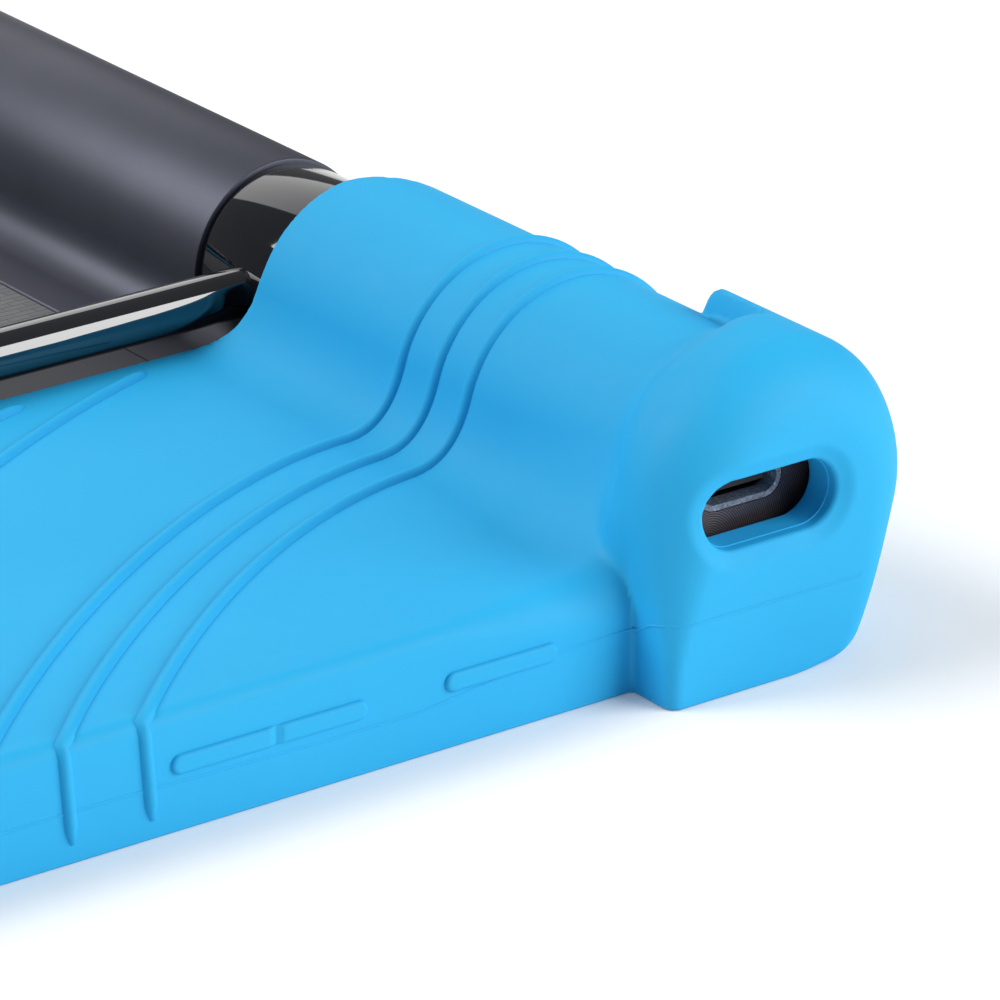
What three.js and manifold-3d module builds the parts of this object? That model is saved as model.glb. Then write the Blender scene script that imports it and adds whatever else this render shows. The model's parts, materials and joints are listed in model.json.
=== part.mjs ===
// A grip-style tablet in a silicone case, lying on its screen. Millimetres, +Z up.
// X runs from the tablet's thin edge to its battery grip, Y runs along the grip, and the
// origin is the middle of the case's footprint on the table.

import * as THREE from "three";
import { mergeVertices } from "three/addons/utils/BufferGeometryUtils.js";
import Module from "manifold-3d";

const wasm = await Module();
wasm.setup();

// ---------------------------------------------------------------- driving dimensions
const GAP = 0.3; // clearance between neighbouring pieces

// tablet
const slabHalfWidth = 124.1; // half the slab along Y
const gripHalfLength = 127.3; // the grip runs past the slab at both ends
const tabletDepth = 169; // thin edge to the outside of the grip
const slabCornerRadius = 14;
const glassFace = 1.6; // height of the screen's glass above the table
const slabBack = 9.4; // height of the slab's back
const gripRadius = 10.1;
const gripBore = 8.5;
const gripAxisHeight = 14.3;
const gripTaperAngle = -24.2 * (Math.PI / 180); // where the front taper leaves the circle
const flareFillet = 4; // hollow radius between the grip and the slab's back
const flareReach = 18.7; // how far the grip's skirt lies over the slab

// silicone case
const caseWall = 2.3;
const caseLip = 1.3; // front lip, table to glass clearance
const caseBack = 11.5; // height of the case's back
const caseGripRadius = 12.6;
const caseFillet = 6;
const lipWidth = 4.4; // how far the front lip laps over the glass
const capLength = 5.8; // how far each end cup stands past the side wall
const capInnerEnd = 107.5; // where each end cup begins along Y
const capRadius = 15.5;
const capCentre = [-1, 15];
const capTurn = 62 * (Math.PI / 180); // where the cup's crown passes into its outer shoulder
const capShoulderRadius = 12;
const capFoot = -16.4; // the upright inner face of each cup
const plugSlot = { x: -4.75, z: 17, length: 14.8, height: 6.6 }; // the plug's way into the near cup
const openingHalfWidth = 57.1; // back opening, across the kickstand
const openingEnd = -84; // back opening, towards the thin edge
const rimHalfWidth = 62.2; // back opening where it crosses the grip
const rimHeight = 6.2; // the strip of case left along the outside of the grip

// kickstand
const armY = 55.4;
const armHeight = 15;
const rodRadius = 2.5;
const loopReach = 72; // grip axis to the middle of the crossbar
const loopCorner = 11;
const seamY = 48.4; // end of the grip's fixed middle shell
const barrelEnd = 64.7;
const barrelRadius = 9.8;
const barrelBore = 4.4;
const pinRadius = 2.6;

// keys, measured along the near side wall
const keyHeight = 6.4;
const powerKey = { x: -31.1, pad: 12.4, key: 10 };
const volumeKey = { x: -56, pad: 20.7, key: 18 };
const padHeight = 1.9;
const padProud = 0.4;
const keyThickness = 1.4;

// worked out from the above
const caseOuterY = slabHalfWidth + GAP + caseWall;
const capFace = caseOuterY + capLength;
const slabEdge = gripRadius - tabletDepth;
const caseEdge = slabEdge - GAP - caseWall;
const capShoulder = [
  capCentre[0] + (capRadius - capShoulderRadius) * Math.cos(capTurn),
  capCentre[1] + (capRadius - capShoulderRadius) * Math.sin(capTurn),
];
const caseFront = capShoulder[0] + capShoulderRadius; // outside of the cups, from the grip axis
const gripX = -(caseEdge + caseFront) / 2;

// ---------------------------------------------------------------- colours and finishes
const FINISH = {
  silicone: { color: 0x32b4f3, roughness: 0.55, metalness: 0 },
  glass: { color: 0x0b0d10, roughness: 0.08, metalness: 0 },
  display: { color: 0x1b1e22, roughness: 0.3, metalness: 0 },
  frame: { color: 0x3c3f46, roughness: 0.45, metalness: 0.6 },
  knit: { color: 0x5c6064, roughness: 0.9, metalness: 0 },
  satin: { color: 0x4b4c55, roughness: 0.35, metalness: 0.4 },
  gloss: { color: 0x0e1016, roughness: 0.08, metalness: 0.2 },
  steel: { color: 0xb4b6b8, roughness: 0.3, metalness: 1 },
  plastic: { color: 0x1a1c20, roughness: 0.5, metalness: 0 },
  board: { color: 0x14502e, roughness: 0.5, metalness: 0 },
  cell: { color: 0x2d6fb0, roughness: 0.4, metalness: 0 },
};

// ---------------------------------------------------------------- geometry helpers
function solidOf(geometry) {
  const bare = geometry.clone();
  bare.deleteAttribute("normal");
  bare.deleteAttribute("uv");
  const merged = mergeVertices(bare, 1e-4);
  return new wasm.Manifold(
    new wasm.Mesh({
      numProp: 3,
      vertProperties: Float32Array.from(merged.attributes.position.array),
      triVerts: Uint32Array.from(merged.index.array),
    }),
  );
}

function geometryOf(solid) {
  const mesh = solid.getMesh();
  const geometry = new THREE.BufferGeometry();
  geometry.setAttribute("position", new THREE.BufferAttribute(Float32Array.from(mesh.vertProperties), 3));
  geometry.setIndex(new THREE.BufferAttribute(Uint32Array.from(mesh.triVerts), 1));
  const faceted = geometry.toNonIndexed();
  faceted.computeVertexNormals();
  return faceted;
}

const joined = (first, ...others) => others.reduce((sum, other) => sum.add(other), first);
const cut = (first, ...others) => others.reduce((rest, other) => rest.subtract(other), first);

// A flat outline in X and Z, pulled along Y from y0 to y1.
function alongY(shape, y0, y1, segments = 12) {
  const depth = y1 - y0;
  const geometry = new THREE.ExtrudeGeometry(shape, { depth, bevelEnabled: false, curveSegments: segments });
  geometry.rotateX(Math.PI / 2);
  geometry.translate(0, y1, 0);
  return solidOf(geometry);
}

// The same, with both ends rounded by a given radius inside the outline.
function roundedAlongY(shape, y0, y1, radius, segments = 12) {
  const geometry = new THREE.ExtrudeGeometry(shape, {
    depth: y1 - y0 - 2 * radius,
    bevelEnabled: true,
    bevelThickness: radius,
    bevelSize: radius,
    bevelOffset: -radius,
    bevelSegments: 3,
    curveSegments: segments,
  });
  geometry.rotateX(Math.PI / 2);
  geometry.translate(0, y1 - radius, 0);
  return solidOf(geometry);
}

// A flat outline in X and Y, pulled up from z0 to z1.
function upwards(shape, z0, z1, segments = 8) {
  const geometry = new THREE.ExtrudeGeometry(shape, {
    depth: z1 - z0,
    bevelEnabled: false,
    curveSegments: segments,
  });
  geometry.translate(0, 0, z0);
  return solidOf(geometry);
}

function box(x0, x1, y0, y1, z0, z1) {
  const geometry = new THREE.BoxGeometry(x1 - x0, y1 - y0, z1 - z0);
  geometry.translate((x0 + x1) / 2, (y0 + y1) / 2, (z0 + z1) / 2);
  return solidOf(geometry);
}

// A round bar along Y.
function barY(x, z, radius, y0, y1, segments = 40) {
  const geometry = new THREE.CylinderGeometry(radius, radius, y1 - y0, segments);
  geometry.translate(x, (y0 + y1) / 2, z);
  return solidOf(geometry);
}

// A round bar along Z.
function barZ(x, y, radius, z0, z1, segments = 24) {
  const geometry = new THREE.CylinderGeometry(radius, radius, z1 - z0, segments);
  geometry.rotateX(Math.PI / 2);
  geometry.translate(x, y, (z0 + z1) / 2);
  return solidOf(geometry);
}

function polygon(points) {
  const shape = new THREE.Shape();
  shape.moveTo(...points[0]);
  points.slice(1).forEach((point) => shape.lineTo(...point));
  shape.closePath();
  return shape;
}

// A slot with round ends, centred at u, v in its own plane.
function stadium(u, v, length, height) {
  const reach = (length - height) / 2;
  const shape = new THREE.Shape();
  shape.absarc(u + reach, v, height / 2, -Math.PI / 2, Math.PI / 2, false);
  shape.absarc(u - reach, v, height / 2, Math.PI / 2, (3 * Math.PI) / 2, false);
  shape.closePath();
  return shape;
}

// A rectangle in X and Y whose corners at the x0 end and at the x1 end have their own radii.
function roundedRectangle(x0, x1, halfWidth, radius0, radius1) {
  const shape = new THREE.Shape();
  shape.absarc(x0 + radius0, -halfWidth + radius0, radius0, Math.PI, Math.PI * 1.5, false);
  shape.absarc(x1 - radius1, -halfWidth + radius1, radius1, Math.PI * 1.5, Math.PI * 2, false);
  shape.absarc(x1 - radius1, halfWidth - radius1, radius1, 0, Math.PI / 2, false);
  shape.absarc(x0 + radius0, halfWidth - radius0, radius0, Math.PI / 2, Math.PI, false);
  shape.closePath();
  return shape;
}

// ---------------------------------------------------------------- the model
const part = new THREE.Group();

// Every piece is drawn with the grip axis at x = 0 and then moved to its place.
function place(name, solid, finish) {
  const mesh = new THREE.Mesh(geometryOf(solid), new THREE.MeshStandardMaterial(FINISH[finish]));
  mesh.name = name;
  mesh.position.set(gripX, 0, 0);
  part.add(mesh);
  return mesh;
}

// The front taper: a straight flank tangent to the grip's circle, down to a given height.
function taperWedge(radius, bottom, inner) {
  const leaveX = radius * Math.cos(gripTaperAngle);
  const leaveZ = gripAxisHeight + radius * Math.sin(gripTaperAngle);
  const footX = leaveX + (leaveZ - bottom) * Math.tan(gripTaperAngle);
  return polygon([
    [inner, bottom],
    [footX, bottom],
    [leaveX, leaveZ],
    [inner, leaveZ],
  ]);
}

// The skirt: a flat tongue over the slab's back, with a hollow fillet up to the grip.
function flareSkirt(radius, bottom, top, fillet, reach) {
  const centreZ = top + fillet;
  const rise = centreZ - gripAxisHeight;
  const centreX = -Math.sqrt((radius + fillet) ** 2 - rise ** 2);
  const touchAngle = Math.atan2(-rise, -centreX);
  const shape = new THREE.Shape();
  shape.moveTo(-reach, bottom);
  shape.lineTo(-radius * 0.6, bottom);
  shape.lineTo(-radius * 0.6, gripAxisHeight);
  shape.absarc(centreX, centreZ, fillet, touchAngle, -Math.PI / 2, true);
  shape.lineTo(-reach, top);
  shape.closePath();
  return shape;
}

const sides = [
  ["near", -1],
  ["far", 1],
];

// Start and end along Y of something that runs from a to b outwards on one side.
const span = (side, a, b) => (side < 0 ? [-b, -a] : [a, b]);

// ---- grip shells
function gripTube(y0, y1, withSkirt) {
  const pieces = [alongY(taperWedge(gripRadius, glassFace, 2.6), y0, y1)];
  if (withSkirt) {
    pieces.push(alongY(flareSkirt(gripRadius, slabBack - 0.7, slabBack, flareFillet, flareReach), y0, y1));
  }
  const body = joined(barY(0, gripAxisHeight, gripRadius, y0, y1, 56), ...pieces);
  return cut(body, barY(0, gripAxisHeight, gripBore, y0 - 1, y1 + 1, 48));
}

const gripScrewX = -1.5;
const gripScrewPlaces = [20, 75, 115];
const screwShank = 0.8;
const screwHole = 1.1;
const gripScrewHoles = sides.flatMap(([, side]) =>
  gripScrewPlaces.map((y) => barZ(gripScrewX, side * y, screwHole, 1, 8, 16)),
);

place("grip_centre_shell", cut(gripTube(-seamY, seamY, true), ...gripScrewHoles), "satin");

const housingStart = barrelEnd + GAP;
const housingEnd = gripHalfLength - 4.1;
const capRecess = { radius: 9.5, depth: 0.7 }; // each end cap's turned face, sunk inside its rim
const portMouth = gripHalfLength - capRecess.depth;
const port = { x: -4.3, z: 17.15, width: 8.94, height: 3.26, mouth: portMouth, length: 7 };
const portPocket = alongY(
  stadium(port.x, port.z, port.width + 0.6, port.height + 0.6),
  -gripHalfLength - 1,
  -(port.mouth - port.length - 1),
);

for (const [name, side] of sides) {
  const [y0, y1] = span(side, housingStart, housingEnd);
  const shell = cut(gripTube(y0, y1, true), ...gripScrewHoles);
  place(`grip_end_housing_${name}`, side < 0 ? cut(shell, portPocket) : shell, "satin");

  const [c0, c1] = span(side, housingEnd + GAP, gripHalfLength);
  const whole = joined(
    barY(0, gripAxisHeight, gripRadius, c0, c1, 56),
    alongY(taperWedge(gripRadius, glassFace, 2.6), c0, c1),
  );
  const sunk = span(side, gripHalfLength - capRecess.depth, gripHalfLength + 1);
  const disc = cut(whole, barY(0, gripAxisHeight, capRecess.radius, ...sunk, 56));
  place(`grip_end_cap_${name}`, side < 0 ? cut(disc, portPocket) : disc, "plastic");
}

// ---- kickstand: one bent rod whose ends plug into two barrels round the grip's axis
class LoopPath extends THREE.Curve {
  constructor() {
    super();
    const endX = -loopReach;
    const cornerX = endX + loopCorner;
    const cornerY = armY - loopCorner;
    this.arm = -5.9 - cornerX;
    this.bend = (Math.PI / 2) * loopCorner;
    this.bar = 2 * cornerY;
    this.total = 2 * this.arm + 2 * this.bend + this.bar;
    this.corner = [cornerX, cornerY];
  }

  getPoint(t, target = new THREE.Vector3()) {
    const [cornerX, cornerY] = this.corner;
    const half = this.total / 2;
    const along = t * this.total;
    const side = along < half ? -1 : 1;
    const way = half - Math.abs(along - half); // distance from the nearer end
    if (way < this.arm) {
      return target.set(cornerX + this.arm - way, side * armY, armHeight);
    }
    if (way < this.arm + this.bend) {
      const angle = (way - this.arm) / loopCorner;
      const x = cornerX - loopCorner * Math.sin(angle);
      const y = cornerY + loopCorner * Math.cos(angle);
      return target.set(x, side * y, armHeight);
    }
    const left = cornerY - (way - this.arm - this.bend);
    return target.set(cornerX - loopCorner, side * left, armHeight);
  }
}

function kickstandLoop() {
  const section = new THREE.Shape();
  section.absarc(0, 0, rodRadius, 0, Math.PI * 2, false);
  const rod = new THREE.ExtrudeGeometry(section, {
    steps: 64,
    curveSegments: 8,
    bevelEnabled: false,
    extrudePath: new LoopPath(),
  });
  return solidOf(rod);
}

place("kickstand_loop", kickstandLoop(), "gloss");

const pinStart = 43.7;
const pinEnd = 69;
const plateThickness = 3;

for (const [name, side] of sides) {
  const [b0, b1] = span(side, seamY + GAP, barrelEnd);
  const socket = new THREE.CylinderGeometry(rodRadius + GAP, rodRadius + GAP, 6, 20);
  socket.rotateZ(Math.PI / 2);
  socket.translate(-8.6, side * armY, armHeight);
  const barrel = cut(
    barY(0, gripAxisHeight, barrelRadius, b0, b1, 56),
    barY(0, gripAxisHeight, barrelBore, b0 - 1, b1 + 1, 32),
    solidOf(socket),
  );
  place(`hinge_barrel_${name}`, barrel, "gloss");

  // a low cover closes the slab beside the barrel
  const coverOutline = flareSkirt(gripRadius, slabBack - 0.7, slabBack, 1.5, flareReach);
  const cover = cut(
    alongY(coverOutline, b0, b1),
    barY(0, gripAxisHeight, barrelRadius + GAP, b0 - 1, b1 + 1, 56),
  );
  place(`hinge_cover_${name}`, cover, "gloss");

  const [s0, s1] = span(side, seamY + 1.5, barrelEnd - 1.5);
  const sleeve = cut(
    barY(0, gripAxisHeight, barrelBore - GAP, s0, s1, 32),
    barY(0, gripAxisHeight, pinRadius + GAP, s0 - 1, s1 + 1, 32),
  );
  place(`friction_sleeve_${name}`, sleeve, "steel");

  const pin = barY(0, gripAxisHeight, pinRadius, ...span(side, pinStart, pinEnd), 32);
  place(`hinge_pin_${name}`, pin, "steel");

  const plateStarts = { inner: seamY - 0.5 - plateThickness, outer: housingStart + 0.5 };
  for (const [which, start] of Object.entries(plateStarts)) {
    const [p0, p1] = span(side, start, start + plateThickness);
    const plate = cut(
      barY(0, gripAxisHeight, gripBore - GAP, p0, p1, 40),
      barY(0, gripAxisHeight, pinRadius + GAP, p0 - 1, p1 + 1, 32),
    );
    place(`${which}_pivot_plate_${name}`, plate, "steel");
  }
}

// ---- battery cells in the middle of the grip
for (const [name, side] of sides) {
  const [y0, y1] = span(side, 0.5, pinStart - 0.6);
  place(`battery_cell_${name}`, barY(0, gripAxisHeight, gripBore - 0.6, y0, y1, 32), "cell");
}

// ---- screen
const glassEnd = 2.3;
const glassTop = glassFace + 0.8;
place(
  "cover_glass",
  upwards(roundedRectangle(slabEdge, glassEnd, slabHalfWidth, slabCornerRadius, 2), glassFace, glassTop),
  "glass",
);

const panelBottom = glassTop + GAP;
const panelTop = panelBottom + 1.8;
place(
  "lcd_panel",
  upwards(roundedRectangle(slabEdge + 4.9, -16, 119.5, slabCornerRadius - 3, 1), panelBottom, panelTop),
  "display",
);

// ---- middle frame: a floor, a wall round it and a saddle under the grip
const frameWall = 1.8;
const frameEnd = -12;
const frameTop = slabBack - 1;
const floorBottom = panelTop + GAP;
const floorTop = floorBottom + 0.6;
const saddleTop = 3.9;
const speaker = { x: -110, length: 22, z: 6.9 };
const boardScrews = [
  [-26, -40],
  [-26, 40],
  [-72, -40],
  [-72, 40],
];
const boardScrewHoles = boardScrews.map(([x, y]) => barZ(x, y, screwHole, 4, 7.5, 16));

function keyHole(key) {
  const shape = stadium(key.x, keyHeight, key.key + 2 * GAP, keyThickness + 2 * GAP);
  return alongY(shape, -slabHalfWidth - 1, -slabHalfWidth + frameWall + 1, 8);
}

function middleFrame() {
  const outline = roundedRectangle(slabEdge, frameEnd, slabHalfWidth, slabCornerRadius, 2);
  const hollow = roundedRectangle(
    slabEdge + frameWall,
    frameEnd - frameWall,
    slabHalfWidth - frameWall,
    slabCornerRadius - frameWall,
    1,
  );
  const saddle = box(frameEnd - 1, glassEnd, -slabHalfWidth, slabHalfWidth, panelBottom, saddleTop);
  const headPockets = sides.flatMap(([, side]) =>
    gripScrewPlaces.map((y) => barZ(gripScrewX, side * y, 1.6 + GAP, 2, 3.3 + GAP, 20)),
  );
  const speakerHoles = sides.map(([, side]) => {
    const shape = stadium(speaker.x, speaker.z, 20.6, 2.6);
    return alongY(shape, ...span(side, slabHalfWidth - frameWall - 1, slabHalfWidth + 1), 8);
  });
  return cut(
    joined(upwards(outline, panelBottom, frameTop), saddle),
    upwards(hollow, panelBottom - 1, floorBottom),
    upwards(hollow, floorTop, frameTop + 1),
    ...headPockets,
    ...gripScrewHoles,
    ...boardScrewHoles,
    ...speakerHoles,
    keyHole(powerKey),
    keyHole(volumeKey),
  );
}

place("mid_frame", middleFrame(), "frame");

// ---- rear camera
const camera = { x: -146, y: 0, hole: 5.6, ring: 5.2, lens: 3.7 };
const cameraBody = box(camera.x - 4.5, camera.x + 4.5, -4.5, 4.5, floorTop + GAP, frameTop);
place("rear_camera_module", cameraBody, "plastic");
place(
  "rear_camera_ring",
  cut(
    barZ(camera.x, camera.y, camera.ring, frameTop + GAP, slabBack + 0.4, 40),
    barZ(camera.x, camera.y, camera.lens + GAP, frameTop, slabBack + 1, 40),
  ),
  "steel",
);
place("rear_camera_lens", barZ(camera.x, camera.y, camera.lens, frameTop + GAP, slabBack + 0.1, 40), "glass");
place("front_camera", barZ(slabEdge + 3.4, 0, 1.1, panelBottom, panelTop, 16), "plastic");

// ---- knit-covered back panel
const backPanel = cut(
  upwards(
    roundedRectangle(slabEdge, -flareReach - GAP, slabHalfWidth, slabCornerRadius, 0.6),
    frameTop + GAP,
    slabBack,
  ),
  barZ(camera.x, camera.y, camera.hole, frameTop, slabBack + 1, 40),
);
place("back_panel", backPanel, "knit");

// ---- boards
const boardBottom = floorTop + GAP + 0.2;
const boardTop = boardBottom + 0.8;
place("main_board", cut(box(-76, -22, -44, 44, boardBottom, boardTop), ...boardScrewHoles), "board");
place("board_shield", box(-66, -34, -24, 24, boardTop + GAP, boardTop + GAP + 1), "steel");
place("usb_board", box(-7.5, 5, -119.5, -98, 13.9, 14.7), "board");

// ---- charging port: a pressed shell round a contact tongue on its base
function portShell() {
  const y0 = -port.mouth;
  const y1 = y0 + port.length;
  const wall = 0.3;
  return cut(
    alongY(stadium(port.x, port.z, port.width, port.height), y0, y1),
    alongY(stadium(port.x, port.z, port.width - 2 * wall, port.height - 2 * wall), y0 - 1, y1 + 1),
  );
}

function portTongue() {
  const y0 = -port.mouth + 0.8;
  const y1 = -port.mouth + port.length;
  const blade = box(port.x - 3.3, port.x + 3.3, y0, y1, port.z - 0.35, port.z + 0.35);
  return joined(blade, alongY(stadium(port.x, port.z, port.width - 1.2, port.height - 1.2), y1 - 1.2, y1));
}

place("usb_port_shell", portShell(), "steel");
place("usb_port_tongue", portTongue(), "plastic");

// ---- speakers and their grilles
for (const [name, side] of sides) {
  const half = speaker.length / 2;
  const [y0, y1] = span(side, 112, slabHalfWidth - frameWall - 1.2);
  const speakerBody = box(speaker.x - half, speaker.x + half, y0, y1, floorTop + GAP, frameTop);
  place(`speaker_${name}`, speakerBody, "plastic");

  const [g0, g1] = span(side, slabHalfWidth - 1.5, slabHalfWidth - 0.2);
  const slots = Array.from({ length: 6 }, (_, i) => {
    const shape = stadium(speaker.x - 7 + 2.8 * i, speaker.z, 1.9, 1);
    return alongY(shape, g0 - 1, g1 + 1, 3);
  });
  const strip = alongY(stadium(speaker.x, speaker.z, 20, 2), g0, g1);
  place(`speaker_grille_${name}`, cut(strip, ...slots), "steel");
}

// ---- keys, the silicone pads over them, and their switches
const keys = { power: powerKey, volume: volumeKey };
const keyInner = slabHalfWidth - 2.5;
const padInner = slabHalfWidth + GAP + 0.1;

for (const [name, key] of Object.entries(keys)) {
  const keyShape = stadium(key.x, keyHeight, key.key, keyThickness);
  const plunger = alongY(keyShape, -slabHalfWidth - 0.1, -keyInner, 8);
  place(`${name}_key`, plunger, "gloss");
  const pad = alongY(stadium(key.x, keyHeight, key.pad, padHeight), -caseOuterY - padProud, -padInner, 8);
  place(`${name}_pad`, pad, "silicone");
}

const keyBoardY = 119.9;
place("key_board", box(-66, -24, -keyBoardY, -keyBoardY + 0.6, floorTop + GAP, frameTop), "board");
const switches = { power: powerKey.x, volume_up: volumeKey.x + 6.5, volume_down: volumeKey.x - 6.5 };
for (const [name, x] of Object.entries(switches)) {
  place(`${name}_switch`, box(x - 1.6, x + 1.6, -keyInner + 0.7, -keyBoardY - GAP, 5.8, 7.2), "plastic");
}

// ---- screws
function screwUp(x, y, headBottom, headTop, tip, headRadius) {
  return joined(
    barZ(x, y, headRadius, headBottom, headTop, 20),
    barZ(x, y, screwShank, headTop - 0.1, tip, 16),
  );
}

function screwDown(x, y, tip, headBottom, headTop, headRadius) {
  return joined(
    barZ(x, y, headRadius, headBottom, headTop, 20),
    barZ(x, y, screwShank, tip, headBottom + 0.1, 16),
  );
}

for (const [name, side] of sides) {
  gripScrewPlaces.forEach((y, i) => {
    place(`grip_screw_${name}_${i + 1}`, screwUp(gripScrewX, side * y, panelBottom, 3.3, 5.4, 1.6), "steel");
  });
}

boardScrews.forEach(([x, y], i) => {
  const head = boardTop + GAP;
  place(`board_screw_${i + 1}`, screwDown(x, y, floorBottom + 0.1, head, head + 0.6, 1.6), "steel");
});

// ---- silicone case
function capOutline() {
  const shape = new THREE.Shape();
  shape.moveTo(capFoot, 0);
  shape.lineTo(5, 0);
  shape.lineTo(6.9, 1.9);
  shape.absarc(...capShoulder, capShoulderRadius, gripTaperAngle, 0, false);
  shape.absarc(...capShoulder, capShoulderRadius, 0, capTurn, false);
  shape.absarc(...capCentre, capRadius, capTurn, Math.PI * 0.97, false);
  shape.closePath();
  return shape;
}

function caseOutside() {
  const slab = upwards(
    roundedRectangle(caseEdge, 4, caseOuterY, slabCornerRadius + caseWall + GAP, 1),
    0,
    caseBack,
  );
  const grip = [
    barY(0, gripAxisHeight, caseGripRadius, -caseOuterY, caseOuterY, 64),
    alongY(taperWedge(caseGripRadius, 0, 0), -caseOuterY, caseOuterY),
    alongY(flareSkirt(caseGripRadius, 5, caseBack, caseFillet, 20), -caseOuterY, caseOuterY),
  ];
  const caps = sides.flatMap(([, side]) => {
    const cup = roundedAlongY(capOutline(), ...span(side, capInnerEnd, capFace), 2.5);
    const inward = box(-40, -gripRadius, ...span(side, 0, caseOuterY), -1, caseBack - 0.5);
    return [cut(cup, inward)];
  });
  return joined(slab, ...grip, ...caps);
}

function tabletSpace() {
  const slab = upwards(
    roundedRectangle(slabEdge - GAP, 2, slabHalfWidth + GAP, slabCornerRadius + GAP, 1),
    caseLip,
    slabBack + GAP,
  );
  const reach = gripHalfLength + GAP;
  const skirt = flareSkirt(gripRadius + GAP, 5, slabBack + GAP, flareFillet - GAP, flareReach);
  return joined(
    slab,
    barY(0, gripAxisHeight, gripRadius + GAP, -reach, reach, 56),
    alongY(taperWedge(gripRadius + GAP, caseLip, 0), -reach, reach),
    alongY(skirt, -slabHalfWidth - GAP, slabHalfWidth + GAP),
  );
}

function backOpening() {
  const overSlab = upwards(
    roundedRectangle(openingEnd, 20, openingHalfWidth, 8, 1),
    slabBack - 0.5,
    40,
  );
  const overGrip = cut(
    box(-14, 20, -rimHalfWidth, rimHalfWidth, rimHeight, 40),
    box(-20, -8, -rimHalfWidth - 1, rimHalfWidth + 1, 0, caseBack + 1.5),
  );
  return joined(overSlab, overGrip);
}

function siliconeCase() {
  const window = upwards(
    roundedRectangle(slabEdge + lipWidth, -3, slabHalfWidth - lipWidth, slabCornerRadius - lipWidth, 3),
    -1,
    caseLip + 1,
  );
  const padHoles = Object.values(keys).map((key) => {
    const shape = stadium(key.x, keyHeight, key.pad + 2 * GAP, padHeight + 2 * GAP);
    return alongY(shape, -caseOuterY - 1, -slabHalfWidth, 8);
  });
  const speakerHoles = sides.map(([, side]) => {
    const shape = stadium(speaker.x, speaker.z, 22, 3.2);
    return alongY(shape, ...span(side, slabHalfWidth, caseOuterY + 1), 8);
  });
  const slotShape = stadium(plugSlot.x, plugSlot.z, plugSlot.length, plugSlot.height);
  const plugHole = alongY(slotShape, -capFace - 1, -gripHalfLength, 10);
  const cameraHole = barZ(camera.x, camera.y, 8, slabBack, caseBack + 1, 32);
  return cut(
    caseOutside(),
    tabletSpace(),
    window,
    backOpening(),
    plugHole,
    cameraHole,
    ...padHoles,
    ...speakerHoles,
  );
}

place("silicone_case", siliconeCase(), "silicone");

export default part;
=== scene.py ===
import json
import math

import bpy
import numpy as np
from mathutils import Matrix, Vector


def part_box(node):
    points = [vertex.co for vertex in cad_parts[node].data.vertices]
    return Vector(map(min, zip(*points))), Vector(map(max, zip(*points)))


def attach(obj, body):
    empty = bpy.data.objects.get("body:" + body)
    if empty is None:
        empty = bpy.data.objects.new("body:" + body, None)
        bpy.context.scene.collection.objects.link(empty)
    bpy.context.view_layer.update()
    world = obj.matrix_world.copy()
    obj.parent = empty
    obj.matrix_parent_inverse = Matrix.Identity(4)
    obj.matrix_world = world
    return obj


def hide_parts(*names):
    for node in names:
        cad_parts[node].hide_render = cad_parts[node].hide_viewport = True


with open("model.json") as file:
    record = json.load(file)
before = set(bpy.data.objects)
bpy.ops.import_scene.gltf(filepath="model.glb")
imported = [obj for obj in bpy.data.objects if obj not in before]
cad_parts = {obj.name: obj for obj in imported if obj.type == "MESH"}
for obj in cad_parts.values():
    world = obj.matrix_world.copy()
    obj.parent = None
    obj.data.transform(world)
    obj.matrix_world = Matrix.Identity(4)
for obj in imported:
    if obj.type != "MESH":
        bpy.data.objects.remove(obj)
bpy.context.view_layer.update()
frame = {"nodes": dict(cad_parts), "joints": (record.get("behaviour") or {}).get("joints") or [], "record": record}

MM = 0.001

# ------------------------------------------------------------------ places, from the frame
# Shapes below are drawn in millimetres with the grip's axis at x = 0, y = 0 in the middle.
HINGE = next(j for j in frame["joints"] if j["name"] == "kickstand_hinge")
GRIP_X = HINGE["pos_m"][0] / MM
AXIS_Z = HINGE["pos_m"][2] / MM


def node_box(name):
    """A CAD node's corners in millimetres, from the grip's axis."""
    low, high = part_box(name)
    shift = np.array([GRIP_X, 0, 0])
    return np.array(low) / MM - shift, np.array(high) / MM - shift


CASE_LOW, CASE_HIGH = node_box("silicone_case")
SHELL_LOW, SHELL_HIGH = node_box("grip_centre_shell")
LOOP_LOW, LOOP_HIGH = node_box("kickstand_loop")
PANEL_LOW, PANEL_HIGH = node_box("back_panel")
GLASS_LOW, GLASS_HIGH = node_box("cover_glass")
PORT_LOW, PORT_HIGH = node_box("usb_port_shell")
LENS_MID = sum(node_box("rear_camera_lens")) / 2

# grip and barrels
GRIP_R = SHELL_HIGH[2] - AXIS_Z
GRIP_BORE = 8.5
GRIP_END = -node_box("grip_end_cap_near")[0][1]
TAPER = math.radians(-24.2)  # the front flank's lean, and the angle at which it leaves the circle
TAPER_INNER = 2.6  # where the flank's foot begins, outwards of the grip's axis
SHELL_FILLET = 4.0
BARREL_R = node_box("hinge_barrel_near")[1][2] - AXIS_Z
BARREL_BORE = 4.4
SEAM = 0.3  # open gap between the barrel and its hinge cover
COVER_THICKNESS = 0.7
COVER_REACH = 0.25  # how far the hinge cover runs on towards the panel
COVER_FILLET = 3.6
COVER_SHORT = 8  # degrees by which the cover's flare stops short of the barrel

# case
CAP_FACE = CASE_HIGH[1] - 0.1
CASE_EDGE = CASE_LOW[0]
CASE_FRONT = CASE_HIGH[0]
CASE_SIDE = PANEL_HIGH[1] + 2.6
CASE_BACK = 11.5
CASE_R = 12.6
CASE_CORNER_R = 16.6
WALL_GAP = 0.3
TABLET_CORNER_R = 14.3
PAST_GRIP = 60  # any X beyond the grip, where an outline along the slab may end
BELOW = 5  # how far below its floor a solid runs on before it is cut flat

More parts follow.
